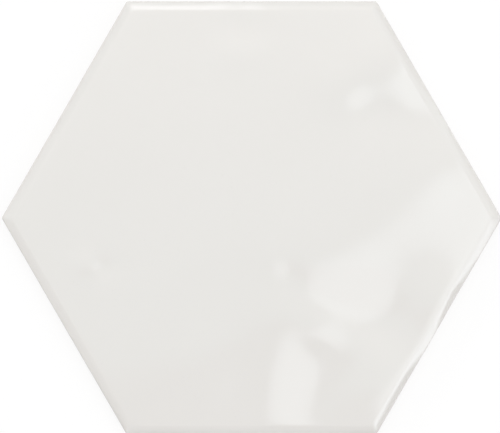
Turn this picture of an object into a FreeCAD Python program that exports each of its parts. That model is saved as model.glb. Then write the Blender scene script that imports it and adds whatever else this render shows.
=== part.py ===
"""A glazed ceramic hexagon tile, dry-pressed and fired as one piece.

The tile lies face up. Z = 0 is the plane that its back ribs rest on, the origin is the middle of
the back, and two opposite corners point along X, so two opposite sides face along Y.

The face is flat and rolls off along each side in two tangent arcs: a wide one, the roll, and a
tight one, the arris. Below the arris each side has an upright land, where spacers bear, then the
draft that the press leaves, then a bevel round the back. The back is keyed for mortar by a
honeycomb of shallow cells inside a plain rim.
"""

import FreeCAD
import Part
import math
import os
import Sketcher

from enum import IntEnum
from FreeCAD import Vector

SIDES = 6
TURN = 360 / SIDES  # degrees from one side or corner to the next
UP = Vector(0, 0, 1)
ROW = math.sqrt(3) / 2  # from one row of cells to the next, in pitches


class Axis(IntEnum):
    """A sketch's own axes, as constraints number them."""

    H = -1
    V = -2


class Point(IntEnum):
    """The points of a line, an arc or a circle, as constraints number them."""

    START = 1
    END = 2
    CENTRE = 3


ORIGIN = (Axis.H, Point.START)

# name, value, what it is: lengths in millimetres, angles in degrees
SIZES = [
    ("across_flats", 150.0, "width of the tile between two opposite sides"),
    ("thickness", 9.0, "from the back ribs to the face"),
    ("corner_radius", 0.8, "round of the outline's corners, seen from above"),
    ("roll_width", 3.5, "how far in from the side the face begins to roll off"),
    ("roll_drop", 1.5, "how far the roll and the arris fall below the face"),
    ("arris_radius", 0.8, "radius of the arris between the roll and the side"),
    ("land_height", 3.0, "height of the upright land below the arris"),
    ("side_draft", 3.0, "slope of the side below the land, from upright"),
    ("back_bevel", 0.7, "bevel round the back"),
    ("key_depth", 0.7, "depth of the cells in the back"),
    ("key_pitch", 14.0, "distance between the middles of two neighbouring cells"),
    ("key_rib", 3.0, "width of the rib between two neighbouring cells"),
    ("key_draft", 20.0, "slope of the cell walls, from upright"),
    ("key_rim", 6.0, "least width of the plain rim round the cells"),
]
VALUE = {name: value for name, value, _ in SIZES}

# places that follow from the sizes, as expressions on the sheet
LAND_TOP = "(Sizes.thickness - Sizes.roll_drop)"
LAND_FOOT = f"({LAND_TOP} - Sizes.land_height)"
BACK_APOTHEM = f"(Sizes.across_flats / 2 - {LAND_FOOT} * tan(Sizes.side_draft))"
CELL_CORNER = "((Sizes.key_pitch - Sizes.key_rib) / sqrt(3))"


def add_sizes(doc):
    """Puts the driving dimensions in a spreadsheet, one named cell each."""
    sheet = doc.addObject("Spreadsheet::Sheet", "Sizes")
    for row, (name, value, note) in enumerate(SIZES, start=1):
        sheet.set(f"A{row}", name)
        sheet.set(f"B{row}", str(value))
        sheet.setAlias(f"B{row}", name)
        sheet.set(f"C{row}", note)
    doc.recompute()


def new_sketch(body, name, plane):
    """An empty sketch on one of the body's own origin planes."""
    sketch = body.newObject("Sketcher::SketchObject", name)
    support = next(f for f in body.Origin.OriginFeatures if f.Role == plane)
    sketch.AttachmentSupport = [(support, "")]
    sketch.MapMode = "FlatFace"
    return sketch


def rules(sketch, *constraints):
    """Adds constraints that hold no size, each as a tuple: its kind, then what it ties."""
    sketch.addConstraint([Sketcher.Constraint(*c) for c in constraints])


def dimension(sketch, name, size, *constraint):
    """Adds a dimension under a name and binds it to an expression on the sheet."""
    value = float(sketch.evalExpression(size))
    index = sketch.addConstraint(Sketcher.Constraint(*constraint, value))
    sketch.renameConstraint(index, name)
    sketch.setExpression(f"Constraints.{name}", size)


def polar(radius, angle):
    """The point at a distance from the origin and an angle in degrees from the first axis."""
    return Vector(radius * math.cos(math.radians(angle)), radius * math.sin(math.radians(angle)), 0)


def sketch_outline(body):
    """The outline seen from above, at the foot of the land: six sides and six round corners."""
    sketch = new_sketch(body, "Outline", "XY_Plane")
    sketch.setExpression(".AttachmentOffset.Base.z", LAND_FOOT)
    radius = VALUE["corner_radius"]
    corner_centre = (VALUE["across_flats"] / 2 - radius) / math.cos(math.radians(TURN / 2))
    circle = sketch.addGeometry(Part.Circle(Vector(), UP, corner_centre), True)
    corners, sides = [], []
    for k in range(SIDES):
        middle = polar(corner_centre, TURN * k)
        following = polar(corner_centre, TURN * (k + 1))
        outward = polar(radius, TURN * (k + 0.5))
        first, last = (math.radians(TURN * (k + half)) for half in (-0.5, 0.5))
        arc = Part.ArcOfCircle(Part.Circle(middle, UP, radius), first, last)
        line = Part.LineSegment(middle + outward, following + outward)
        corners.append(sketch.addGeometry(arc, False))
        sides.append(sketch.addGeometry(line, False))
    rules(
        sketch,
        ("Coincident", circle, Point.CENTRE, *ORIGIN),
        ("PointOnObject", corners[0], Point.CENTRE, Axis.H),
    )
    for k, (corner, side) in enumerate(zip(corners, sides)):
        rules(
            sketch,
            ("PointOnObject", corner, Point.CENTRE, circle),
            ("Tangent", corner, Point.END, side, Point.START),
            ("Tangent", side, Point.END, corners[(k + 1) % SIDES], Point.START),
        )
        if k:
            rules(sketch, ("Equal", corners[0], corner), ("Equal", sides[0], side))
    dimension(sketch, "corner_radius", "Sizes.corner_radius", "Radius", corners[0])
    dimension(sketch, "apothem", "Sizes.across_flats / 2", "Distance", *ORIGIN, sides[0])
    return sketch


def press_blank(body):
    """The pressed body before its edges are shaped: upright from the foot of the land to the face,
    and drawn in by the draft from there down to the back."""
    blank = body.newObject("PartDesign::Pad", "Blank")
    blank.Profile = sketch_outline(body)
    blank.SideType = "Two sides"
    blank.setExpression("Length", f"Sizes.thickness - {LAND_FOOT}")
    blank.setExpression("Length2", LAND_FOOT)
    blank.setExpression("TaperAngle2", "-Sizes.side_draft")  # a taper below zero draws in


def closed_lines(sketch, points):
    """Draws straight lines round a closed shape and ties their ends."""
    corners = zip(points, points[1:] + points[:1])
    lines = [sketch.addGeometry(Part.LineSegment(a, b), False) for a, b in corners]
    neighbours = zip(lines, lines[1:] + lines[:1])
    rules(sketch, *(("Coincident", a, Point.END, b, Point.START) for a, b in neighbours))
    return lines


def draw_roll(sketch):
    """What the roll and the arris leave out of a square edge. The arris meets the land upright and
    the roll meets the face level."""
    side, face = VALUE["across_flats"] / 2, VALUE["thickness"]
    width, drop, tight = VALUE["roll_width"], VALUE["roll_drop"], VALUE["arris_radius"]
    wide = ((width - tight) ** 2 + drop**2 - tight**2) / (2 * (drop - tight))
    meet = math.acos((width - tight) / (wide - tight))
    roll_circle = Part.Circle(Vector(side - width, face - wide, 0), UP, wide)
    arris_circle = Part.Circle(Vector(side - tight, face - drop, 0), UP, tight)
    roll = sketch.addGeometry(Part.ArcOfCircle(roll_circle, meet, math.pi / 2), False)
    arris = sketch.addGeometry(Part.ArcOfCircle(arris_circle, 0, meet), False)
    around = [
        Vector(side, face - drop, 0),
        Vector(side + width, face - drop, 0),
        Vector(side + width, face + drop, 0),
        Vector(side - width, face + drop, 0),
        Vector(side - width, face, 0),
    ]
    below, beside, above, inside = (
        sketch.addGeometry(Part.LineSegment(a, b), False) for a, b in zip(around, around[1:])
    )
    rules(
        sketch,
        ("Tangent", arris, Point.END, roll, Point.START),
        ("Horizontal", arris, Point.START, arris, Point.CENTRE),
        ("Vertical", roll, Point.END, roll, Point.CENTRE),
        ("Coincident", arris, Point.START, below, Point.START),
        ("Coincident", below, Point.END, beside, Point.START),
        ("Coincident", beside, Point.END, above, Point.START),
        ("Coincident", above, Point.END, inside, Point.START),
        ("Coincident", inside, Point.END, roll, Point.END),
        ("Horizontal", below),
        ("Vertical", beside),
        ("Horizontal", above),
        ("Vertical", inside),
    )
    dimension(sketch, "apothem", "Sizes.across_flats / 2", "DistanceX", *ORIGIN, arris, Point.START)
    dimension(sketch, "land_top", LAND_TOP, "DistanceY", *ORIGIN, arris, Point.START)
    dimension(sketch, "arris_radius", "Sizes.arris_radius", "Radius", arris)
    dimension(sketch, "roll_width", "Sizes.roll_width", "DistanceX", roll, Point.END, arris, Point.START)
    dimension(sketch, "roll_drop", "Sizes.roll_drop", "DistanceY", arris, Point.START, roll, Point.END)
    dimension(sketch, "past_side", "Sizes.roll_width", "DistanceX", below, Point.START, below, Point.END)
    dimension(sketch, "past_face", "Sizes.roll_drop", "DistanceY", inside, Point.END, inside, Point.START)


def draw_bevel(sketch):
    """What the bevel round the back leaves out: a right triangle with two equal legs, which reach
    past the side and past the back by the bevel's own width. So each leg is three times as long as
    the bevel is wide."""
    bevel = VALUE["back_bevel"]
    outside = float(sketch.evalExpression(BACK_APOTHEM)) + bevel
    leg = 3 * bevel
    square_corner = Vector(outside, -bevel, 0)
    _, across, upright = closed_lines(
        sketch, [square_corner + Vector(0, leg, 0), square_corner - Vector(leg, 0, 0), square_corner]
    )
    rules(sketch, ("Horizontal", across), ("Vertical", upright), ("Equal", across, upright))
    tip, ends = (across, Point.END), (across, Point.START, across, Point.END)
    dimension(sketch, "past_draft", f"{BACK_APOTHEM} + Sizes.back_bevel", "DistanceX", *ORIGIN, *tip)
    dimension(sketch, "past_back", "Sizes.back_bevel", "DistanceY", *tip, *ORIGIN)
    dimension(sketch, "bevel_leg", "3 * Sizes.back_bevel", "DistanceX", *ends)


def turned_copies(body, name, cut):
    """Repeats a cut round the tile's upright axis, once for each side."""
    pattern = body.newObject("PartDesign::PolarPattern", name)
    pattern.Originals = [cut]
    pattern.Axis = (next(f for f in body.Origin.OriginFeatures if f.Role == "Z_Axis"), [""])
    pattern.Angle = 360
    pattern.Occurrences = SIDES
    body.Tip = pattern


def shape_edges(body):
    """Cuts the roll, the arris and the bevel along one side, then along all six, so that they meet
    at the corners in mitres."""
    section = new_sketch(body, "EdgeSection", "YZ_Plane")
    draw_roll(section)
    draw_bevel(section)
    cut = body.newObject("PartDesign::Pocket", "EdgeCut")
    cut.Profile = section
    cut.SideType = "Symmetric"
    cut.Type = "ThroughAll"
    turned_copies(body, "EdgeCuts", cut)


def draw_cell(sketch, i, j, first=None):
    """A cell's mouth, i pitches along the first axis and j pitches along the line a turn from it:
    six equal lines round a construction circle, with a corner pointing along the second axis.
    Every cell after the first takes its size from the first."""
    corner = float(sketch.evalExpression(CELL_CORNER))
    centre = Vector(i + j / 2, j * ROW, 0) * VALUE["key_pitch"]
    circle = sketch.addGeometry(Part.Circle(centre, UP, corner), True)
    mouth = closed_lines(sketch, [centre + polar(corner, TURN * (k + 0.5)) for k in range(SIDES)])
    rules(sketch, *(("PointOnObject", line, Point.START, circle) for line in mouth))
    rules(sketch, *(("Equal", mouth[0], line) for line in mouth[1:]))
    rules(sketch, ("Vertical", circle, Point.CENTRE, mouth[1], Point.START))
    if first is None:
        dimension(sketch, "cell_corner", CELL_CORNER, "Radius", circle)
    else:
        rules(sketch, ("Equal", first, circle))
    if i or j:
        across = f"{i + j / 2} * Sizes.key_pitch"
        dimension(sketch, f"across_{i}_{j}", across, "DistanceX", *ORIGIN, circle, Point.CENTRE)
    else:
        rules(sketch, ("PointOnObject", circle, Point.CENTRE, Axis.V))
    if j:
        up = f"{j} * sqrt(3) / 2 * Sizes.key_pitch"
        dimension(sketch, f"up_{i}_{j}", up, "DistanceY", *ORIGIN, circle, Point.CENTRE)
    else:
        rules(sketch, ("PointOnObject", circle, Point.CENTRE, Axis.H))
    return circle


def sink_cells(body, name, places):
    """Cuts cells up into the back, their walls drawn in so that the press lets go."""
    sketch = new_sketch(body, f"{name}Mouths", "XY_Plane")
    first = None
    for i, j in places:
        circle = draw_cell(sketch, i, j, first)
        first = circle if first is None else first
    cells = body.newObject("PartDesign::Pocket", name)
    cells.Profile = sketch
    cells.Reversed = True
    cells.setExpression("Length", "Sizes.key_depth")
    cells.setExpression("TaperAngle", "-Sizes.key_draft")
    return cells


def key_back(body):
    """The honeycomb: one cell in the middle, and as many rings of cells round it as leave the
    rim its width. One sixth of the rings is drawn and turned round the rest of the back."""
    sheet = body.Document.getObject("Sizes")
    back, corner = (float(sheet.evalExpression(size)) for size in (BACK_APOTHEM, CELL_CORNER))
    room = back - VALUE["back_bevel"] - VALUE["key_rim"] - corner
    rings = int(room / (VALUE["key_pitch"] * ROW))
    sink_cells(body, "MiddleCell", [(0, 0)])
    sixth = [(ring - j, j) for ring in range(1, rings + 1) for j in range(ring)]
    turned_copies(body, "Cells", sink_cells(body, "CellSixth", sixth))


def check(doc, body):
    """Stops unless every object is sound and the tile is one valid solid."""
    for item in doc.Objects:
        if "Invalid" in item.State or "Error" in item.State:
            raise RuntimeError(f"{item.Name} is in the state {item.State}")
        if hasattr(item, "FullyConstrained") and not item.FullyConstrained:
            raise RuntimeError(f"{item.Name} isn't fully constrained")
    shape = body.Shape
    if shape.isNull() or not shape.isValid() or len(shape.Solids) != 1:
        raise RuntimeError("the tile isn't one valid solid")


def main():
    """Builds the tile and writes its solid."""
    doc = FreeCAD.newDocument("HexagonTile")
    add_sizes(doc)
    tile = doc.addObject("PartDesign::Body", "Tile")
    tile.Label = "hexagon_tile"
    press_blank(tile)
    shape_edges(tile)
    key_back(tile)
    doc.recompute()
    check(doc, tile)
    os.makedirs("parts", exist_ok=True)
    tile.Shape.exportStep(f"parts/{tile.Label}.step")
    print(f"{tile.Label}: {len(tile.Shape.Faces)} faces, {tile.Shape.Volume:.0f} mm3")


main()
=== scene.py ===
"""The looks of a glazed hexagon tile, lying face up on a pale studio floor.

Everything is in metres in the tile's own frame: the back rests on Z = 0, the origin is the middle of
the back, two opposite corners point along X and two opposite sides face along Y.

One closed mesh stands for the tile. Its upper part is glaze, which lies in soft swells, rolls over
the six sides and runs out part of the way down them. The rest is the bare fired clay of the sides
and of the back, which is keyed by a honeycomb of shallow cells.
"""

import logging
import math
from dataclasses import dataclass
from enum import Enum
from typing import Any

import bpy
import numpy as np
from mathutils import Matrix, Vector


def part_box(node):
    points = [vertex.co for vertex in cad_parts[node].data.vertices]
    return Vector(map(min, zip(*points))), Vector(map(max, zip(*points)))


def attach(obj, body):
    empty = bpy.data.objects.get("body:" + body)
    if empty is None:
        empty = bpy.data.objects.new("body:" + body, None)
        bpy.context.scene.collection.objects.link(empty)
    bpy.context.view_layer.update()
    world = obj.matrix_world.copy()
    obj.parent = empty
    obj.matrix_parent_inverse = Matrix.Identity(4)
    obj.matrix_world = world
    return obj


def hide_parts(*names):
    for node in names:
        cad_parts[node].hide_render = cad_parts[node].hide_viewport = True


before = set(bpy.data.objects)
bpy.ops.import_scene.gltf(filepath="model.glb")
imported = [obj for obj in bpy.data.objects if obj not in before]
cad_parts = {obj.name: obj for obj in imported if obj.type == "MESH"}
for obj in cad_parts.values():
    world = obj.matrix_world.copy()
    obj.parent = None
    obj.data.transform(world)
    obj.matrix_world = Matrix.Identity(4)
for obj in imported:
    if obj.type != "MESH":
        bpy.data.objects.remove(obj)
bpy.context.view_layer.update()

LOG = logging.getLogger("hexagon_tile")
MM = 0.001  # metres in a millimetre
SIDES = 6
TURN = math.tau / SIDES  # radians from one side or corner to the next
PHOTO_WIDTH, PHOTO_HEIGHT = 500, 433  # pixels
SENSOR_WIDTH = 36.0  # millimetres
WHITE = (1.0, 1.0, 1.0, 1.0)

Colour = tuple[float, float, float]


class Region(Enum):
    """What a stretch of the tile's surface is, as the index of its material on the mesh."""

    GLAZE = 0
    CLAY = 1


@dataclass
class Surface:
    """A stretch of surface made of triangles.

    Args:
        points: One row of X, Y and Z for each point.
        triangles: One row of three point indices for each triangle, anticlockwise from outside.
        regions: The material index of each triangle.
    """

    points: np.ndarray
    triangles: np.ndarray
    regions: np.ndarray

    @classmethod
    def joined(cls, parts: list["Surface"]) -> "Surface":
        """Puts stretches together without welding them.

        Args:
            parts: The stretches, in order.

        Returns:
            One surface that holds them all.
        """
        starts = np.cumsum([0] + [len(part.points) for part in parts[:-1]])
        return cls(
            np.concatenate([part.points for part in parts]),
            np.concatenate([part.triangles + start for part, start in zip(parts, starts)]),
            np.concatenate([part.regions for part in parts]),
        )

    def welded(self, reach: float = 1e-6) -> "Surface":
        """Merges points that lie together and drops the triangles that this closes up.

        Args:
            reach: Points nearer than about this are one point, in metres.

        Returns:
            The welded surface.
        """
        cells = np.round(self.points / reach).astype(np.int64)
        _, first, index = np.unique(cells, axis=0, return_index=True, return_inverse=True)
        triangles = index.reshape(-1)[self.triangles]
        a, b, c = triangles.T
        whole = (a != b) & (b != c) & (c != a)
        return Surface(self.points[first], triangles[whole], self.regions[whole])

    def open_edges(self) -> np.ndarray:
        """Finds the edges that only one triangle has.

        Returns:
            One row of start and end point for each such edge, in the order of its triangle.
        """
        edges = np.concatenate([self.triangles[:, pair] for pair in ([0, 1], [1, 2], [2, 0])])
        size = len(self.points)
        here = edges[:, 0] * size + edges[:, 1]
        back = edges[:, 1] * size + edges[:, 0]
        return edges[~np.isin(here, back)]

    def to_object(self, name: str) -> bpy.types.Object:
        """Makes a smooth-shaded mesh object at the origin.

        Args:
            name: The object's name.

        Returns:
            The new object, linked to the scene.
        """
        mesh = bpy.data.meshes.new(name)
        mesh.vertices.add(len(self.points))
        mesh.vertices.foreach_set("co", self.points.astype(np.float32).ravel())
        mesh.loops.add(self.triangles.size)
        mesh.loops.foreach_set("vertex_index", self.triangles.astype(np.int32).ravel())
        mesh.polygons.add(len(self.triangles))
        mesh.polygons.foreach_set("loop_start", np.arange(0, self.triangles.size, 3, dtype=np.int32))
        mesh.polygons.foreach_set("material_index", self.regions.astype(np.int32))
        mesh.polygons.foreach_set("use_smooth", np.ones(len(self.triangles), dtype=bool))
        mesh.update(calc_edges=True)
        mesh.validate()
        piece = bpy.data.objects.new(name, mesh)
        bpy.context.scene.collection.objects.link(piece)
        return piece


def sweep(rows: np.ndarray, row_regions: np.ndarray) -> Surface:
    """Joins closed rows of points into a surface, each row to the next one.

    Args:
        rows: Points as an array of rows, of points round each row, and of X, Y and Z. Seen from
            above each row runs anticlockwise, and the next row lies outside or below it.
        row_regions: The material index of the band between each row and the next.

    Returns:
        The surface, with two triangles to each cell of the grid.
    """
    count, around = rows.shape[:2]
    row, column = np.meshgrid(np.arange(count - 1), np.arange(around), indexing="ij")
    following = (column + 1) % around
    inner, inner_next = row * around + column, row * around + following
    outer, outer_next = inner + around, inner_next + around
    first = np.stack([inner, outer, outer_next], axis=-1)
    second = np.stack([inner, outer_next, inner_next], axis=-1)
    triangles = np.stack([first, second], axis=2).reshape(-1, 3)
    regions = np.repeat(row_regions, 2 * around)
    return Surface(rows.reshape(-1, 3), triangles, regions)


@dataclass(frozen=True)
class RoundedHexagon:
    """The points of a hexagon with round corners, as a weighting of two unit outlines.

    With apothem A and corner radius r, each point is (A - r) times a point of the sharp hexagon
    whose apothem is 1, plus r times the outward unit normal there. On a corner's arc the first
    stays at the corner while the normal turns, and along a side the normal stays.

    Args:
        on_corner: How many steps the arc of each corner has.
        on_side: How many steps each straight side has.
        first_corner: The angle of the first corner from the X axis, in radians.
    """

    on_corner: int
    on_side: int
    first_corner: float = 0.0

    def directions(self) -> tuple[np.ndarray, np.ndarray]:
        """Works out the two unit outlines.

        Returns:
            The sharp hexagon's points and the outward normals, one row of X and Y for each point.
        """
        side = np.arange(SIDES)[:, None]
        corner_angle = self.first_corner + TURN * side
        reach = 1 / math.cos(TURN / 2)
        turning = np.linspace(-0.5, 0.5, self.on_corner + 1)[None, :] * TURN
        arc_normal = corner_angle + turning
        arc_corner = np.broadcast_to(corner_angle, arc_normal.shape)
        share = (np.arange(1, self.on_side) / self.on_side)[None, :, None]
        here = reach * unit(corner_angle)
        there = reach * unit(corner_angle + TURN)
        along = here * (1 - share) + there * share
        line_normal = np.broadcast_to(unit(corner_angle + TURN / 2), along.shape)
        sharp = np.concatenate([reach * unit(arc_corner), along], axis=1).reshape(-1, 2)
        normal = np.concatenate([unit(arc_normal), line_normal], axis=1).reshape(-1, 2)
        return sharp, normal

    def rows(self, apothems: np.ndarray, radii: np.ndarray) -> np.ndarray:
        """Places one outline for each row of sizes.

        Args:
            apothems: The distance from the middle to a side, for each row, or for each row and point.
            radii: The radius of the corners, in the same form.

        Returns:
            An array of rows, of points round each row, and of X and Y.
        """
        sharp, normal = self.directions()
        if apothems.ndim == 1:
            apothems, radii = apothems[:, None], radii[:, None]
        return (apothems - radii)[..., None] * sharp + radii[..., None] * normal


def unit(angle: np.ndarray) -> np.ndarray:
    """The unit vectors at these angles from the X axis, in a new last axis of X and Y."""
    return np.stack([np.cos(angle), np.sin(angle)], axis=-1)


def eased(share: np.ndarray) -> np.ndarray:
    """A smooth step: 0 up to a share of 0, 1 from a share of 1, level at both ends."""
    share = np.clip(share, 0, 1)
    return share * share * (3 - 2 * share)


@dataclass(frozen=True)
class Swell:
    """A soft tilt in the glaze: it leans most at its middle and dies away around it.

    With p the place measured from the middle along the direction that the glaze faces there, and q
    the place across it, the height is -lean * p * exp(-(p / along)^2 / 2 - (q / across)^2 / 2).

    Args:
        x: The middle, along X, in millimetres.
        y: The middle, along Y, in millimetres.
        along: How far the tilt spreads in the direction that it faces, in millimetres.
        across: How far the tilt spreads to either side of that, in millimetres.
        lean: The slope at the middle, in degrees.
        facing: The direction that the glaze leans to there, in degrees from X.
    """

    x: float
    y: float
    along: float
    across: float
    lean: float
    facing: float

    def height(self, x: np.ndarray, y: np.ndarray) -> np.ndarray:
        """The height of the swell.

        Args:
            x: Places along X, in metres.
            y: Places along Y, in metres.

        Returns:
            The height at each place, in metres.
        """
        dx, dy = x - self.x * MM, y - self.y * MM
        facing = math.radians(self.facing)
        ahead = dx * math.cos(facing) + dy * math.sin(facing)
        aside = dy * math.cos(facing) - dx * math.sin(facing)
        spread = (ahead / (self.along * MM)) ** 2 + (aside / (self.across * MM)) ** 2
        return -math.tan(math.radians(self.lean)) * ahead * np.exp(-spread / 2)


@dataclass(frozen=True)
class Ripple:
    """A long low wave in the glaze: height * sin(tau * distance along it / length + phase).

    Args:
        length: From one crest to the next, in millimetres.
        height: From the mean to a crest, in millimetres.
        heading: The direction that it runs in, in degrees from X.
        phase: Where it starts, in radians.
    """

    length: float
    height: float
    heading: float
    phase: float

    def at(self, x: np.ndarray, y: np.ndarray) -> np.ndarray:
        """The height of the wave.

        Args:
            x: Places along X, in metres.
            y: Places along Y, in metres.

        Returns:
            The height at each place, in metres.
        """
        heading = math.radians(self.heading)
        along = x * math.cos(heading) + y * math.sin(heading)
        return self.height * MM * np.sin(math.tau * along / (self.length * MM) + self.phase)


@dataclass(frozen=True)
class RimWave:
    """A wave that closes on itself once round the tile: size * sin(cycles * turn + phase).

    Args:
        cycles: How many crests it has.
        size: From the mean to a crest.
        phase: Where it starts, in radians.
    """

    cycles: int
    size: float
    phase: float

    def at(self, turn: np.ndarray) -> np.ndarray:
        """The wave where this much of the outline, in radians, has been gone round."""
        return self.size * np.sin(self.cycles * turn + self.phase)


@dataclass(frozen=True)
class SoftSpot:
    """A stretch of edge where the glaze has drawn back, so that the roll is rounder and lower.

    Args:
        side: Which side, anticlockwise from the one between the right corner and the next.
        middle: Its middle, in millimetres anticlockwise from the middle of the side.
        reach: How far it spreads along the side, in millimetres.
        amount: How much rounder it is, up to 1, or how much tighter where it is below 0.
    """

    side: int
    middle: float
    reach: float
    amount: float

    def share(self, side: np.ndarray, along: np.ndarray) -> np.ndarray:
        """Its amount at places along the outline, fading as a bell curve to either side."""
        bell = np.exp(-(((along - self.middle * MM) / (self.reach * MM)) ** 2) / 2)
        return np.where(side == self.side, self.amount * bell, 0.0)


SWELLS = (
    Swell(x=26, y=-19, along=12, across=8, lean=0.4, facing=-38),
    Swell(x=57, y=-31.5, along=12, across=8.5, lean=2.2, facing=190),
    Swell(x=33.5, y=-59, along=13, across=14, lean=2.0, facing=172),
    Swell(x=53, y=-52, along=9, across=9, lean=1.2, facing=120),
    Swell(x=28, y=-35, along=6, across=14, lean=2.0, facing=66),
    Swell(x=20, y=-37, along=5, across=5, lean=0.4, facing=142),
    Swell(x=68, y=10, along=9, across=8, lean=0.4, facing=-38),
    Swell(x=53, y=-3, along=9, across=8, lean=0.12, facing=-38),
    Swell(x=40, y=-11, along=8, across=7, lean=0.2, facing=-38),
    Swell(x=3, y=-58, along=8, across=14, lean=0.8, facing=170),
    Swell(x=56, y=46, along=14, across=9, lean=1.8, facing=-45),
    Swell(x=36, y=42, along=9, across=7, lean=1.6, facing=-38),
    Swell(x=-54, y=-16.5, along=4, across=3, lean=3.3, facing=-10),
    Swell(x=9.5, y=-17, along=5, across=3, lean=1.1, facing=-38),
    Swell(x=-3, y=61, along=5, across=6, lean=1.9, facing=90),
    Swell(x=-12, y=-60, along=14, across=14, lean=0.2, facing=-90),
)
RIPPLES = (
    Ripple(length=61, height=0.006, heading=25, phase=0.6),
    Ripple(length=43, height=0.004, heading=110, phase=2.1),
)
SOFT_SPOTS = (
    SoftSpot(side=5, middle=-34, reach=8, amount=0.9),
    SoftSpot(side=5, middle=-20, reach=5, amount=0.5),
    SoftSpot(side=5, middle=7, reach=4, amount=0.4),
    SoftSpot(side=5, middle=15, reach=4, amount=0.65),
    SoftSpot(side=5, middle=32, reach=9, amount=-0.25),
    SoftSpot(side=5, middle=-5, reach=6, amount=-0.3),
    SoftSpot(side=0, middle=0, reach=34, amount=0.3),
    SoftSpot(side=2, middle=0, reach=60, amount=0.3),
    SoftSpot(side=3, middle=36, reach=12, amount=0.4),
    SoftSpot(side=4, middle=-32, reach=14, amount=0.35),
    SoftSpot(side=4, middle=36, reach=12, amount=0.35),
)
# Slight waves of the edge's softness, and of the height where the glaze ends.
SOFT_WAVES = (RimWave(17, 0.05, 0.7), RimWave(41, 0.04, 2.9))
RUN_WAVES = (
    RimWave(5, 0.20 * MM, 0.4),
    RimWave(13, 0.18 * MM, 2.0),
    RimWave(29, 0.12 * MM, 4.1),
    RimWave(53, 0.07 * MM, 1.2),
)
# Where the rows of the side lie, as shares of the way down its glaze, its clay land and its draft.
GLAZE_ROWS = (0.25, 0.5, 0.75, 0.9)
CLAY_ROWS = (0.15, 0.5, 1.0)
DRAFT_ROWS = (0.33, 0.66, 1.0)
# The eased bevel of the back: how far in and how far up each row lies, in bevels.
BEVEL_SECTION = ((0.02, 0.96), (0.5, 0.5), (0.97, 0.04), (1.05, 0.0), (1.6, 0.0))
# The last rows on the ceiling of a cell, as shares of its mouth.
CEILING_ROWS = (0.5, 0.02)
BEAD_ROWS = 5  # rows round the end of the glaze
LIP_ROWS = 4  # rows round the lip of a cell, and round its fillet


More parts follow.
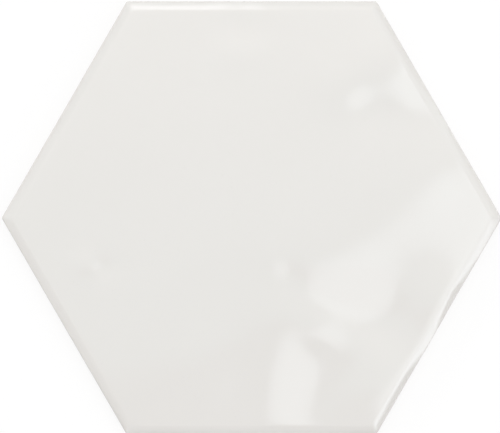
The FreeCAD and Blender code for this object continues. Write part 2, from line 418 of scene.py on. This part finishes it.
@dataclass
class GlazedTile:
    """The tile: its sizes, the mesh made from them, and its finish. All sizes are in metres.

    Args:
        across_flats: Between two opposite sides.
        thickness: From the back to the highest glaze.
        corner_radius: Round of the outline's corners.
        mitre_softening: How much rounder the corners get for each metre in along the roll.
        side_tightening: How much sharper they get for each metre in down the side.
        least_corner: Their least radius there.
        roll_width: How far in from the side the face begins to roll off.
        roll_drop: How far the roll and the arris fall below the face.
        arris_radius: Radius of the arris between the roll and the side.
        soft_arris: How much larger that radius is in the middle of a full soft spot.
        soft_drop: How much further the roll falls there.
        softness_mean: How soft the edge is between the spots.
        softness_least: The softness where the edge is tightest.
        land_height: Height of the upright land below the arris.
        side_draft: Slope of the side below the land, in radians from upright.
        back_bevel: Bevel round the back.
        glaze_depth: How far the glaze stands out from the clay of the side.
        run_out: How far the glaze runs down the land, on average.
        least_run: How far it runs below the arris at least.
        bead_height: Height of the rounding where it ends, in glaze depths.
        key_depth: Depth of the cells in the back.
        key_pitch: Between the middles of neighbouring cells.
        key_rib: Width of the rib between neighbouring cells.
        key_draft: Slope of the cell walls, in radians from upright.
        key_rim: Least width of the plain rim round the cells.
        lip: Radius of the rounded lip of each cell.
        swells: The soft tilts of the glaze.
        ripples: The long waves of the glaze.
        soft_spots: The stretches of softer and tighter edge.
        outline: The points round the tile.
        mouth: The points round a cell.
    """

    across_flats: float
    thickness: float
    corner_radius: float = 0.8 * MM
    mitre_softening: float = 0.6
    side_tightening: float = 0.4
    least_corner: float = 0.2 * MM
    roll_width: float = 3.5 * MM
    roll_drop: float = 1.5 * MM
    arris_radius: float = 0.8 * MM
    soft_arris: float = 1.6 * MM
    soft_drop: float = 1.4 * MM
    softness_mean: float = 0.02
    softness_least: float = -0.25
    land_height: float = 3.0 * MM
    side_draft: float = math.radians(3)
    back_bevel: float = 0.7 * MM
    glaze_depth: float = 0.14 * MM
    run_out: float = 1.9 * MM
    least_run: float = 0.4 * MM
    bead_height: float = 2.2
    key_depth: float = 0.7 * MM
    key_pitch: float = 14.0 * MM
    key_rib: float = 3.0 * MM
    key_draft: float = math.radians(20)
    key_rim: float = 6.0 * MM
    lip: float = 0.25 * MM
    swells: tuple[Swell, ...] = SWELLS
    ripples: tuple[Ripple, ...] = RIPPLES
    soft_spots: tuple[SoftSpot, ...] = SOFT_SPOTS
    outline: RoundedHexagon = RoundedHexagon(on_corner=6, on_side=78)
    mouth: RoundedHexagon = RoundedHexagon(on_corner=3, on_side=4, first_corner=TURN / 2)

    @property
    def apothem(self) -> float:
        """From the middle to a side."""
        return self.across_flats / 2

    @property
    def land_top(self) -> float:
        """The height where the arris meets the land."""
        return self.thickness - self.roll_drop

    @property
    def land_foot(self) -> float:
        """The height where the land ends and the draft begins."""
        return self.land_top - self.land_height

    @property
    def back_apothem(self) -> float:
        """From the middle to where the draft would reach the back."""
        return self.apothem - self.glaze_depth - self.land_foot * math.tan(self.side_draft)

    def corner_radii(self, insets: np.ndarray) -> np.ndarray:
        """The corner radii at these insets: growing through the roll, at most half the apothem."""
        softened = self.corner_radius + self.mitre_softening * np.minimum(insets, self.roll_width)
        return np.minimum(softened, (self.apothem - insets) / 2)

    def glaze_height(self, x: np.ndarray, y: np.ndarray) -> np.ndarray:
        """The sum of the swells and ripples at places in metres, in metres."""
        swells = sum(swell.height(x, y) for swell in self.swells)
        return swells + sum(ripple.at(x, y) for ripple in self.ripples)

    def turns(self) -> np.ndarray:
        """How much of the outline has been gone round at each of its points, in radians."""
        around = len(self.outline.directions()[0])
        return np.arange(around) / around * math.tau

    def softness(self) -> np.ndarray:
        """How soft the edge is: its mean, the soft spots and slight waves added up.

        Returns:
            The softness at each point of the outline, up to 1.
        """
        sharp, _ = self.outline.directions()
        side = np.arange(len(sharp)) * SIDES // len(sharp)
        middle = TURN * (side + 0.5)
        along = self.apothem * (sharp[:, 1] * np.cos(middle) - sharp[:, 0] * np.sin(middle))
        turns = self.turns()
        waves = self.softness_mean + sum(wave.at(turns) for wave in SOFT_WAVES)
        spots = sum(spot.share(side, along) for spot in self.soft_spots)
        return np.clip(waves + spots, self.softness_least, 1)

    def roll_profile(self, steps: int = 22) -> tuple[np.ndarray, np.ndarray]:
        """The section of the rolled edge at each point of the outline.

        It is two arcs tangent to each other, to the face and to the side. With the tilt of the
        surface going from 0 to a quarter turn, a point lies R * sin(tilt) out from the start of the
        roll and R * (1 - cos(tilt)) below the face, and from the tilt where the arcs meet the same
        holds about the arris's own centre.

        Args:
            steps: How many steps the section has.

        Returns:
            The inset from the side and the height, by row from the face outwards and by point.
        """
        soft = self.softness()
        width = self.roll_width
        tight = self.arris_radius + self.soft_arris * soft
        drop = self.roll_drop + self.soft_drop * soft
        wide = ((width - tight) ** 2 + drop**2 - tight**2) / (2 * (drop - tight))
        meet = np.arcsin((width - tight) / (wide - tight))
        on_roll = np.linspace(0, 1, steps // 2, endpoint=False)[:, None] * meet
        share = np.linspace(0, 1, steps - steps // 2)[:, None]
        on_arris = meet + (math.pi / 2 - meet) * share
        inset = np.concatenate([width - wide * np.sin(on_roll), tight * (1 - np.sin(on_arris))])
        fall = np.concatenate([wide * (1 - np.cos(on_roll)), drop - tight * np.cos(on_arris)])
        return inset, self.thickness - fall

    def face_rows(self, rings: int = 58, middle: float = 0.3 * MM) -> np.ndarray:
        """The glazed rows from the middle of the face to the foot of the arris.

        The swells are added in full on the flat and die away down the roll, and the whole face is
        lowered so that its highest crest is at the tile's thickness.

        Args:
            rings: How many outlines the flat of the face has.
            middle: The apothem of the smallest outline.

        Returns:
            The rows of points.
        """
        roll_inset, roll_height = self.roll_profile()
        around = roll_inset.shape[1]
        flat_end = self.apothem - self.roll_width
        flat = self.apothem - np.linspace(middle, flat_end, rings, endpoint=False)
        insets = np.concatenate([np.repeat(flat[:, None], around, axis=1), roll_inset])
        heights = np.concatenate([np.full((rings, around), self.thickness), roll_height])
        plan = self.outline.rows(self.apothem - insets, self.corner_radii(insets))
        swell = self.glaze_height(plan[..., 0], plan[..., 1])
        share = eased((heights - self.land_top) / self.roll_drop)
        heights = heights + (swell - swell.max()) * share
        heights += (self.thickness - heights.max()) * share
        return np.concatenate([plan, heights[..., None]], axis=-1)

    def run_line(self) -> np.ndarray:
        """The height where the glaze ends at each point of the outline: its mean and waves."""
        turns = self.turns()
        return self.land_top - self.run_out + sum(wave.at(turns) for wave in RUN_WAVES)

    def side_rows(self, foot: np.ndarray) -> tuple[np.ndarray, np.ndarray]:
        """The rows from the land down to the inner edge of the back's bevel.

        The glaze comes straight down and rounds in to the clay along the line where it runs out.
        Below that the clay goes down the land, in along the draft and round the bevel.

        Args:
            foot: The height of the foot of the arris at each point of the outline.

        Returns:
            The rows of points, and the material index of the band above each row.
        """
        line = np.minimum(self.run_line(), foot - self.least_run)
        bead = self.glaze_depth
        turning = np.linspace(0, math.pi / 2, BEAD_ROWS)[:, None]
        glaze_down = foot + (line - foot) * np.array(GLAZE_ROWS)[:, None]
        rounding = line - self.bead_height * bead * np.sin(turning)
        clay_down = rounding[-1] + (self.land_foot - rounding[-1]) * np.array(CLAY_ROWS)[:, None]
        draft = self.land_foot + (self.back_bevel - self.land_foot) * np.array(DRAFT_ROWS)
        bevel_in, bevel_up = self.back_bevel * np.array(BEVEL_SECTION).T
        below = np.repeat(np.concatenate([draft, bevel_up])[:, None], len(line), axis=1)
        heights = np.concatenate([glaze_down, rounding, clay_down, below])
        insets = np.concatenate([
            np.zeros(len(glaze_down)),
            bead * (1 - np.cos(turning[:, 0])),
            np.full(len(clay_down), bead),
            bead + (self.land_foot - draft) * math.tan(self.side_draft),
            self.apothem - self.back_apothem + bevel_in,
        ])
        radii = np.maximum(self.corner_radius - self.side_tightening * insets, self.least_corner)
        plan = self.outline.rows(self.apothem - insets, radii)
        regions = np.full(len(insets), Region.CLAY.value)
        regions[: len(glaze_down) + len(turning)] = Region.GLAZE.value
        return np.concatenate([plan, heights[..., None]], axis=-1), regions

    def cell_places(self) -> np.ndarray:
        """The middles of the cells: all whole steps along two lattice directions a turn apart that
        stay within the rings that leave the rim its width.

        Returns:
            One row of X and Y for each cell.
        """
        corner = (self.key_pitch - self.key_rib) / 2 / math.cos(TURN / 2)
        room = self.back_apothem - self.back_bevel - self.key_rim - corner
        rings = int(room / (self.key_pitch * math.cos(TURN / 2)))
        step = np.arange(-rings, rings + 1)
        i, j = np.meshgrid(step, step, indexing="ij")
        inside = np.abs(i + j) <= rings
        i, j = i[inside], j[inside]
        return self.key_pitch * np.stack([i + j * math.cos(TURN), j * math.sin(TURN)], axis=-1)

    def honeycomb(self) -> Surface:
        """The cells of the back with the ribs between them.

        One cell is a stack of hexagons with round corners, from the middle line of its ribs over a
        rounded lip, up the drafted wall and round a fillet to its ceiling. The same stack stands at
        every cell's place, and neighbours share the middle line of their rib.

        Returns:
            The welded surface, open along its zigzag outer edge.
        """
        half = self.key_pitch / 2
        mouth = half - self.key_rib / 2
        turning = np.linspace(0, math.pi / 2 - self.key_draft, LIP_ROWS)
        lip_in = self.lip * np.sin(turning)
        lip_up = self.lip * (1 - np.cos(turning))
        wall_in = lip_in[-1] + (self.key_depth - 2 * lip_up[-1]) * math.tan(self.key_draft)
        fillet_in = wall_in + lip_in[-1] - lip_in[::-1]
        fillet_up = self.key_depth - lip_up[::-1]
        inset = np.concatenate([lip_in, fillet_in]) - self.lip / 2
        rise = np.concatenate([lip_up, fillet_up])
        ceiling = mouth * np.array(CEILING_ROWS)
        apothems = np.concatenate([[half, mouth + self.lip], mouth - inset, ceiling])
        heights = np.concatenate([[0.0, 0.0], rise, [self.key_depth, self.key_depth]])
        radii = np.full(len(apothems), self.corner_radius)
        radii[0] = 0.0
        radii = np.minimum(radii, apothems / 2)
        plan = self.mouth.rows(apothems, radii)
        height = np.broadcast_to(heights[:, None, None], plan.shape[:2] + (1,))
        rows = np.concatenate([plan, height], axis=-1)
        cell = sweep(rows, np.full(len(rows) - 1, Region.CLAY.value))
        cell = Surface.joined([cell, fan(rows[-1], Region.CLAY, facing_up=False)])
        places = self.cell_places()
        shift = np.concatenate([places, np.zeros((len(places), 1))], axis=1)
        points = (cell.points[None] + shift[:, None]).reshape(-1, 3)
        starts = np.arange(len(places))[:, None, None] * len(cell.points)
        triangles = (cell.triangles[None] + starts).reshape(-1, 3)
        return Surface(points, triangles, np.tile(cell.regions, len(places))).welded()

    def build(self) -> Surface:
        """Makes the whole closed surface of the tile.

        Returns:
            The surface, welded, with every triangle facing out.
        """
        face = self.face_rows()
        side, side_regions = self.side_rows(face[-1, :, 2])
        glaze = np.full(len(face) - 1, Region.GLAZE.value)
        skin = sweep(np.concatenate([face, side]), np.concatenate([glaze, side_regions]))
        honeycomb = self.honeycomb()
        cell_edge = honeycomb.points[honeycomb.open_edges()[:, 1]]
        rim = bridge(side[-1], cell_edge, Region.CLAY)
        middle = fan(face[0], Region.GLAZE, facing_up=True)
        return Surface.joined([middle, skin, rim, honeycomb]).welded()

    def dress(self, piece: bpy.types.Object, groups: "Groups") -> None:
        """Gives the tile's object its finishes, in the order of the regions."""
        for finish in (Glaze(), FiredClay()):
            piece.data.materials.append(finish.material(groups))


def fan(row: np.ndarray, region: Region, facing_up: bool) -> Surface:
    """Closes a row of points with triangles to their mean.

    Args:
        row: The points, anticlockwise from above.
        region: What the surface is.
        facing_up: Whether the triangles face up or down.

    Returns:
        The closing surface.
    """
    count = len(row)
    here = np.arange(count)
    there = (here + 1) % count
    pole = np.full(count, count)
    triangles = np.stack([pole, here, there] if facing_up else [pole, there, here], axis=1)
    points = np.concatenate([row, row.mean(axis=0, keepdims=True)])
    return Surface(points, triangles, np.full(count, region.value))


def by_angle(row: np.ndarray) -> tuple[np.ndarray, np.ndarray]:
    """Sorts a row's points by their angle about the origin.

    Args:
        row: The points, one row of X, Y and Z each.

    Returns:
        The sorted points, and their angles from the X axis in radians.
    """
    angle = np.arctan2(row[:, 1], row[:, 0])
    order = np.argsort(angle)
    return row[order], angle[order]


def bridge(outer: np.ndarray, inner: np.ndarray, region: Region) -> Surface:
    """Fills the ring between two closed rows on one level, facing down.

    Going round by angle, each step along one row makes a triangle with the point of the other row
    that was passed last.

    Args:
        outer: The outer row's points.
        inner: The inner row's points.
        region: What the surface is.

    Returns:
        The ring.
    """
    outer, outer_angle = by_angle(outer)
    inner, inner_angle = by_angle(inner)
    outer_count, inner_count = len(outer), len(inner)
    o, i = np.arange(outer_count), np.arange(inner_count)
    o_next, i_next = (o + 1) % outer_count, (i + 1) % inner_count
    passed_inner = (np.searchsorted(inner_angle, outer_angle[o_next], side="left") - 1) % inner_count
    passed_outer = (np.searchsorted(outer_angle, inner_angle[i_next], side="right") - 1) % outer_count
    along_outer = np.stack([o_next, o, outer_count + passed_inner], axis=1)
    along_inner = np.stack([outer_count + i, outer_count + i_next, passed_outer], axis=1)
    triangles = np.concatenate([along_outer, along_inner])
    return Surface(np.concatenate([outer, inner]), triangles, np.full(len(triangles), region.value))


class Graph:
    """A node tree being wired. Values go to sockets by name or number, and links join nodes."""

    def __init__(self, tree: bpy.types.NodeTree) -> None:
        """Takes the tree to wire."""
        self.tree = tree

    def add(self, kind: str, values: dict[Any, Any] | None = None, **settings: Any) -> bpy.types.Node:
        """Adds a node.

        Args:
            kind: The node's type, such as ShaderNodeMath.
            values: The value of each input, or the output socket that feeds it, by name or number.
            **settings: The node's own settings.

        Returns:
            The new node.
        """
        node = self.tree.nodes.new(kind)
        for name, value in settings.items():
            setattr(node, name, value)
        for key, value in (values or {}).items():
            if isinstance(value, bpy.types.NodeSocket):
                self.tree.links.new(value, node.inputs[key])
            else:
                node.inputs[key].default_value = value
        return node

    def math(self, operation: str, *values: Any) -> bpy.types.NodeSocket:
        """The result of a Math node on numbers or sockets."""
        return self.add("ShaderNodeMath", dict(enumerate(values)), operation=operation).outputs[0]

    def smooth(self, value: Any, start: Any, end: Any) -> bpy.types.NodeSocket:
        """A smooth step of a value: 0 up to the start, 1 from the end, level at both."""
        limits = {"Value": value, "From Min": start, "From Max": end}
        return self.add("ShaderNodeMapRange", limits, interpolation_type="SMOOTHSTEP").outputs[0]

    def place(self) -> bpy.types.NodeSocket:
        """The place on the object, in metres, in the object's own coordinates."""
        return self.add("ShaderNodeTexCoord").outputs["Object"]

    def seen(self) -> bpy.types.NodeSocket:
        """Whether the camera sees a place by itself, in a reflection or through a clear body.

        Returns:
            The output socket that is 1 where it does and otherwise 0.
        """
        path = self.add("ShaderNodeLightPath").outputs
        direct = self.math("MAXIMUM", path["Is Camera Ray"], path["Is Glossy Ray"])
        return self.math("MAXIMUM", direct, path["Is Transmission Ray"])


def node_group(
    name: str, inputs: dict[str, tuple[str, Any]], outputs: dict[str, str]
) -> tuple[Graph, bpy.types.Node, bpy.types.Node]:
    """Starts a shader node group.

    Args:
        name: The group's name.
        inputs: The kind and first value of each input, by name.
        outputs: The kind of each output, by name.

    Returns:
        The group's graph, its input node and its output node.
    """
    tree = bpy.data.node_groups.new(name, "ShaderNodeTree")
    for label, (kind, value) in inputs.items():
        socket = tree.interface.new_socket(label, in_out="INPUT", socket_type=kind)
        if value is not None:
            socket.default_value = value
    for label, kind in outputs.items():
        tree.interface.new_socket(label, in_out="OUTPUT", socket_type=kind)
    return Graph(tree), tree.nodes.new("NodeGroupInput"), tree.nodes.new("NodeGroupOutput")


def grain_group() -> bpy.types.NodeTree:
    """The grain group: noise at a given size in metres, stretched between two limits.

    Returns:
        The group. Its Mask goes from 0 to 1 over the surface.
    """
    graph, start, end = node_group(
        "grain",
        {
            "Place": ("NodeSocketVector", None),
            "Size": ("NodeSocketFloat", 0.001),
            "Detail": ("NodeSocketFloat", 3.0),
            "Low": ("NodeSocketFloat", 0.3),
            "High": ("NodeSocketFloat", 0.7),
        },
        {"Mask": "NodeSocketFloat"},
    )
    scale = graph.math("DIVIDE", 1.0, start.outputs["Size"])
    noise = graph.add(
        "ShaderNodeTexNoise",
        {"Vector": start.outputs["Place"], "Scale": scale, "Detail": start.outputs["Detail"]},
    )
    mask = graph.smooth(noise.outputs[0], start.outputs["Low"], start.outputs["High"])
    graph.tree.links.new(mask, end.inputs["Mask"])
    return graph.tree


# The noise where the patches and the specks begin, and where they are full.
SPOT_LIMITS = {"Patch": (0.35, 0.65), "Speck": (0.62, 0.74)}


def mottle_group(grain: bpy.types.NodeTree) -> bpy.types.NodeTree:
    """The mottle group: a colour that turns to a tint in cloudy patches and in small specks.

    Args:
        grain: The grain group, which makes both.

    Returns:
        The group. Its Colour varies over the surface.
    """
    graph, start, end = node_group(
        "mottle",
        {
            "Place": ("NodeSocketVector", None),
            "Colour": ("NodeSocketColor", (0.8, 0.8, 0.8, 1.0)),
            "Tint": ("NodeSocketColor", (0.7, 0.7, 0.7, 1.0)),
            "Patch Size": ("NodeSocketFloat", 0.03),
            "Patch Share": ("NodeSocketFloat", 0.1),
            "Speck Size": ("NodeSocketFloat", 0.001),
            "Speck Share": ("NodeSocketFloat", 0.1),
        },
        {"Colour": "NodeSocketColor"},
    )
    shares = []
    for kind, (low, high) in SPOT_LIMITS.items():
        place, size = start.outputs["Place"], start.outputs[f"{kind} Size"]
        values = {"Place": place, "Size": size, "Low": low, "High": high}
        spots = graph.add("ShaderNodeGroup", values, node_tree=grain)
        shares.append(graph.math("MULTIPLY", spots.outputs["Mask"], start.outputs[f"{kind} Share"]))
    colours = {"A": start.outputs["Colour"], "B": start.outputs["Tint"]}
    share = graph.math("MAXIMUM", *shares)
    mixed = graph.add("ShaderNodeMix", {"Factor": share, **colours}, data_type="RGBA")
    graph.tree.links.new(mixed.outputs["Result"], end.inputs["Colour"])
    return graph.tree


def new_material(name: str) -> tuple[Graph, bpy.types.Material]:
    """Starts a material with an empty tree.

    Args:
        name: The material's name.

    Returns:
        The graph that wires it, and the material.
    """
    material = bpy.data.materials.new(name)
    material.use_nodes = True
    material.node_tree.nodes.clear()
    return Graph(material.node_tree), material


@dataclass(frozen=True)
class Groups:
    """The node groups that the finishes share.

    Args:
        grain: Noise at a size, as a mask.
        mottle: A colour with patches and specks of a tint.
    """

    grain: bpy.types.NodeTree
    mottle: bpy.types.NodeTree


@dataclass(frozen=True)
class Finish:
    """A finish of the tile: a mottled colour under a skin with fine unevenness.

    Args:
        name: The material's name.
        colour: The main colour.
        tint: The colour of the patches and specks in it.
        patch_size: Size of the cloudy patches, in metres.
        patch_share: How far they turn to the tint.
        speck_size: Size of the specks, in metres.
        speck_share: How far they turn to the tint.
        roughness: Of the skin.
        refraction: Its index.
        skin_height: Height of the unevenness, in metres.
        skin_size: Size of the unevenness, in metres.
        skin_detail: How many finer layers it has.
        skin_limits: The noise that is its lowest and its highest point.
    """

    name: str
    colour: Colour
    tint: Colour
    patch_size: float
    patch_share: float
    speck_size: float
    speck_share: float
    roughness: float
    refraction: float
    skin_height: float
    skin_size: float
    skin_detail: float
    skin_limits: tuple[float, float]

    def material(self, groups: Groups) -> bpy.types.Material:
        """Makes the material.

        Args:
            groups: The shared node groups.

        Returns:
            The finished material.
        """
        graph, material = new_material(self.name)
        place = graph.place()
        mottle = {
            "Place": place,
            "Colour": (*self.colour, 1.0),
            "Tint": (*self.tint, 1.0),
            "Patch Size": self.patch_size,
            "Patch Share": self.patch_share,
            "Speck Size": self.speck_size,
            "Speck Share": self.speck_share,
        }
        colour = graph.add("ShaderNodeGroup", mottle, node_tree=groups.mottle)
        skin = {"Place": place, "Size": self.skin_size, "Detail": self.skin_detail}
        skin["Low"], skin["High"] = self.skin_limits
        grain = graph.add("ShaderNodeGroup", skin, node_tree=groups.grain)
        bump = {"Height": grain.outputs["Mask"], "Strength": 1.0, "Distance": self.skin_height}
        shader = graph.add(
            "ShaderNodeBsdfPrincipled",
            {
                "Base Color": colour.outputs["Colour"],
                "Roughness": self.roughness,
                "IOR": self.refraction,
                "Normal": graph.add("ShaderNodeBump", bump).outputs["Normal"],
            },
        )
        graph.add("ShaderNodeOutputMaterial", {"Surface": shader.outputs[0]})
        return material


@dataclass(frozen=True)
class Glaze(Finish):
    """The fired glaze: glossy and warm white, faintly tinted in cloudy patches and small specks, with a
    skin that isn't quite even."""

    name: str = "glaze"
    colour: Colour = (0.815, 0.805, 0.775)
    tint: Colour = (0.76, 0.745, 0.71)
    patch_size: float = 50 * MM
    patch_share: float = 0.10
    speck_size: float = 0.9 * MM
    speck_share: float = 0.25
    roughness: float = 0.04
    refraction: float = 1.52
    skin_height: float = 0.0015 * MM
    skin_size: float = 4.0 * MM
    skin_detail: float = 1.0
    skin_limits: tuple[float, float] = (0.2, 0.8)


@dataclass(frozen=True)
class FiredClay(Finish):
    """The bare fired body: matt buff, with darker grains of grog and a rough skin."""

    name: str = "fired_clay"
    colour: Colour = (0.66, 0.58, 0.47)
    tint: Colour = (0.42, 0.33, 0.24)
    patch_size: float = 12 * MM
    patch_share: float = 0.25
    speck_size: float = 1.0 * MM
    speck_share: float = 0.75
    roughness: float = 0.85
    refraction: float = 1.5
    skin_height: float = 0.08 * MM
    skin_size: float = 0.35 * MM
    skin_detail: float = 4.0
    skin_limits: tuple[float, float] = (0.3, 0.7)


@dataclass(frozen=True)
class LightCard:
    """A soft glowing panel that hangs level above the tile and fades to nothing at its rims.

    The panel is turned about the point above the tile's middle, and its left and near sides are
    measured from there in the turned directions.

    Args:
        name: The light's name.
        left: Where its left side is, in metres.
        near: Where its near side is, in metres.
        height: Above the floor, in metres.
        width: Its size from left to right, in metres.
        depth: Its size from near to far, in metres.
        rims: How far the glow takes to reach full strength in from the left, right, near and far
            side, in metres.
        turn: Its turn about the upright axis, in degrees.
        glow: The radiance of its middle, in red, green and blue.
        mirrored: Whether it shows in reflections.
    """

    name: str
    left: float
    near: float
    height: float
    width: float
    depth: float
    rims: tuple[float, float, float, float]
    turn: float
    glow: Colour
    mirrored: bool = True

    def rim(
        self, graph: Graph, place: bpy.types.NodeSocket, size: float, rims: tuple[float, float]
    ) -> bpy.types.NodeSocket:
        """The share of the glow along one direction.

        Args:
            graph: The light's graph.
            place: The place along that direction, from 0 to 1.
            size: The size of the panel along it, in metres.
            rims: The widths of the rims at its start and end, in metres.

        Returns:
            The output socket that holds the share.
        """
        rising = graph.smooth(place, 0.0, rims[0] / size)
        falling = graph.smooth(place, 1.0, 1.0 - rims[1] / size)
        return graph.math("MULTIPLY", rising, falling)

    def build(self) -> None:
        """Makes the panel as an area light that faces down."""
        lamp = bpy.data.lights.new(self.name, "AREA")
        lamp.shape = "RECTANGLE"
        lamp.size, lamp.size_y = self.width, self.depth
        lamp.color = self.glow
        lamp.energy = math.pi * self.width * self.depth
        lamp.use_nodes = True
        graph = Graph(lamp.node_tree)
        place = graph.add("ShaderNodeNewGeometry").outputs["Parametric"]
        sides = graph.add("ShaderNodeSeparateXYZ", {0: place}).outputs
        across = self.rim(graph, sides["X"], self.width, self.rims[:2])
        along = self.rim(graph, sides["Y"], self.depth, self.rims[2:])
        emission = lamp.node_tree.nodes["Emission"]
        lamp.node_tree.links.new(graph.math("MULTIPLY", across, along), emission.inputs["Strength"])
        card = bpy.data.objects.new(self.name, lamp)
        middle = Vector((self.left + self.width / 2, self.near + self.depth / 2, self.height))
        card.matrix_world = Matrix.Rotation(math.radians(self.turn), 4, "Z") @ Matrix.Translation(middle)
        card.visible_camera = False
        card.visible_glossy = self.mirrored
        bpy.context.scene.collection.objects.link(card)


# The name, left and near side, height, size, rims, turn and glow of each panel, and False where
# reflections don't show it.
CARDS = (
    LightCard("overhead", -1.7, -0.135, 2.40, 3.4, 2.0, (0.3, 0.3, 0.03, 0.3), 10, (0.35, 0.50, 0.50)),
    LightCard("overhead_glow", -0.8, -0.12, 2.42, 1.6, 2.0, (0.4, 0.75, 0.45, 0.3), 0, (1.10, 0.95, 0.90)),
    LightCard("right_card", 0.105, -0.16, 2.44, 4.9, 0.6, (0.03, 1.0, 0.06, 0.12), -38, (1.15, 1.22, 1.3)),
    LightCard("right_glow", 0.13, -0.16, 2.45, 4.9, 0.6, (0.04, 1.0, 0.06, 0.12), -38, (0.55, 0.6, 0.6)),
    LightCard("edge_card", 0.35, -0.4, 2.46, 2.3, 0.9, (1.2, 0.7, 0.15, 0.15), -30, (1.8, 1.9, 2.1)),
    LightCard("side_card", 0.55, -0.6, 2.45, 1.3, 1.2, (0.2, 0.4, 0.3, 0.3), 30, (0.4, 0.4, 0.4)),
    LightCard("far_card", -3.5, 3.8, 2.49, 7.0, 3.0, (1.0, 1.0, 0.3, 0.6), 30, (4.6, 4.6, 4.7), False),
    LightCard("low_card", 3.4, -2.0, 2.48, 3.5, 4.0, (0.5, 0.5, 0.5, 0.5), -30, (2.2, 2.2, 2.2), False),
    LightCard("back_card", -0.5, 0.35, 2.47, 0.52, 1.85, (0.1, 0.04, 0.5, 0.9), 0, (2.4, 2.4, 2.6)),
)


@dataclass
class Studio:
    """The floor, the lights and the camera.

    Args:
        tile: The tile that they are set for.
        floor_size: Width of the floor, in metres.
        floor_gap: How far the floor lies below the tile's back, in metres.
        floor_grey: How much of the light the floor throws back onto the tile.
        floor_shade: How much of the light on it the floor shows, which gives the tile's shadow.
        floor_white: What the floor shows besides, up to 1.
        camera_height: Of the camera above the floor, in metres.
        camera_reach: The nearest and the furthest that the camera sees, in metres.
        scale: Pixels of the photograph in a millimetre of the tile's outline.
        centre_x: Where the tile's middle shows, in pixels from the left.
        centre_y: Where the tile's middle shows, in pixels from the top.
        room: The even light of the room round the cards, in red, green and blue.
        cards: The soft panels.
    """

    tile: GlazedTile
    floor_size: float = 60.0
    floor_gap: float = 0.02 * MM
    floor_grey: float = 0.8
    floor_shade: float = 0.12
    floor_white: float = 0.89
    camera_height: float = 1.5
    camera_reach: tuple[float, float] = (0.01, 100.0)
    scale: float = 2.887
    centre_x: float = 251.6
    centre_y: float = 218.0
    room: Colour = (0.478, 0.44, 0.43)
    cards: tuple[LightCard, ...] = CARDS

    def lay_floor(self) -> None:
        """Makes the pale floor, which shows white where the tile's shadow doesn't fall."""
        half = self.floor_size / 2
        signs = ((-1, -1), (1, -1), (1, 1), (-1, 1))
        corners = [(x * half, y * half, -self.floor_gap) for x, y in signs]
        mesh = bpy.data.meshes.new("floor")
        mesh.from_pydata(corners, [], [(0, 1, 2, 3)])
        floor = bpy.data.objects.new("floor", mesh)
        bpy.context.scene.collection.objects.link(floor)
        graph, material = new_material("floor")
        matt = graph.add("ShaderNodeBsdfDiffuse", {"Color": (*[self.floor_grey] * 3, 1.0)})
        shade = graph.add("ShaderNodeBsdfDiffuse", {"Color": (*[self.floor_shade] * 3, 1.0)})
        lift = graph.add("ShaderNodeEmission", {"Color": WHITE, "Strength": self.floor_white})
        white = graph.add("ShaderNodeAddShader", {0: shade.outputs[0], 1: lift.outputs[0]})
        sides = {0: graph.seen(), 1: matt.outputs[0], 2: white.outputs[0]}
        mixed = graph.add("ShaderNodeMixShader", sides)
        graph.add("ShaderNodeOutputMaterial", {"Surface": mixed.outputs[0]})
        mesh.materials.append(material)

    def fill_sky(self) -> None:
        """Makes the even light from all round. The camera and reflections see it as white."""
        world = bpy.data.worlds.new("studio")
        bpy.context.scene.world = world
        world.use_nodes = True
        world.node_tree.nodes.clear()
        graph = Graph(world.node_tree)
        plain = graph.add("ShaderNodeBackground", {"Color": (*self.room, 1.0), "Strength": 1.0})
        white = graph.add("ShaderNodeBackground", {"Color": WHITE, "Strength": 1.0})
        sides = {0: graph.seen(), 1: plain.outputs[0], 2: white.outputs[0]}
        mixed = graph.add("ShaderNodeMixShader", sides)
        graph.add("ShaderNodeOutputWorld", {"Surface": mixed.outputs[0]})

    def set_camera(self) -> None:
        """Hangs the camera straight above, so that the tile's outline has its size and place in the
        photograph's frame."""
        data = bpy.data.cameras.new("camera")
        distance = self.camera_height - self.tile.land_top
        frame_width = PHOTO_WIDTH / self.scale * MM
        data.sensor_width = SENSOR_WIDTH
        data.lens = SENSOR_WIDTH * distance / frame_width
        data.clip_start, data.clip_end = self.camera_reach
        camera = bpy.data.objects.new("camera", data)
        x = (PHOTO_WIDTH / 2 - self.centre_x) / self.scale * MM
        y = (self.centre_y - PHOTO_HEIGHT / 2) / self.scale * MM
        camera.location = (x, y, self.camera_height)
        bpy.context.scene.collection.objects.link(camera)
        bpy.context.scene.camera = camera

    def build(self) -> None:
        """Builds the floor, the lights and the camera, and has colours shown as they are."""
        bpy.context.scene.view_settings.view_transform = "Standard"
        self.lay_floor()
        self.fill_sky()
        for card in self.cards:
            card.build()
        self.set_camera()


def main() -> None:
    """Builds the tile and the studio."""
    logging.basicConfig(level=logging.INFO, format="%(name)s: %(message)s")
    low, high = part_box("hexagon_tile")
    tile = GlazedTile(across_flats=high.y - low.y, thickness=high.z - low.z)
    surface = tile.build()
    piece = surface.to_object("glazed_tile")
    grain = grain_group()
    tile.dress(piece, Groups(grain, mottle_group(grain)))
    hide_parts("hexagon_tile")
    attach(piece, "root")
    open_edges = len(surface.open_edges())
    LOG.info("glazed_tile: %d triangles, %d open edges", len(surface.triangles), open_edges)
    Studio(tile).build()


if __name__ == "__main__":
    main()
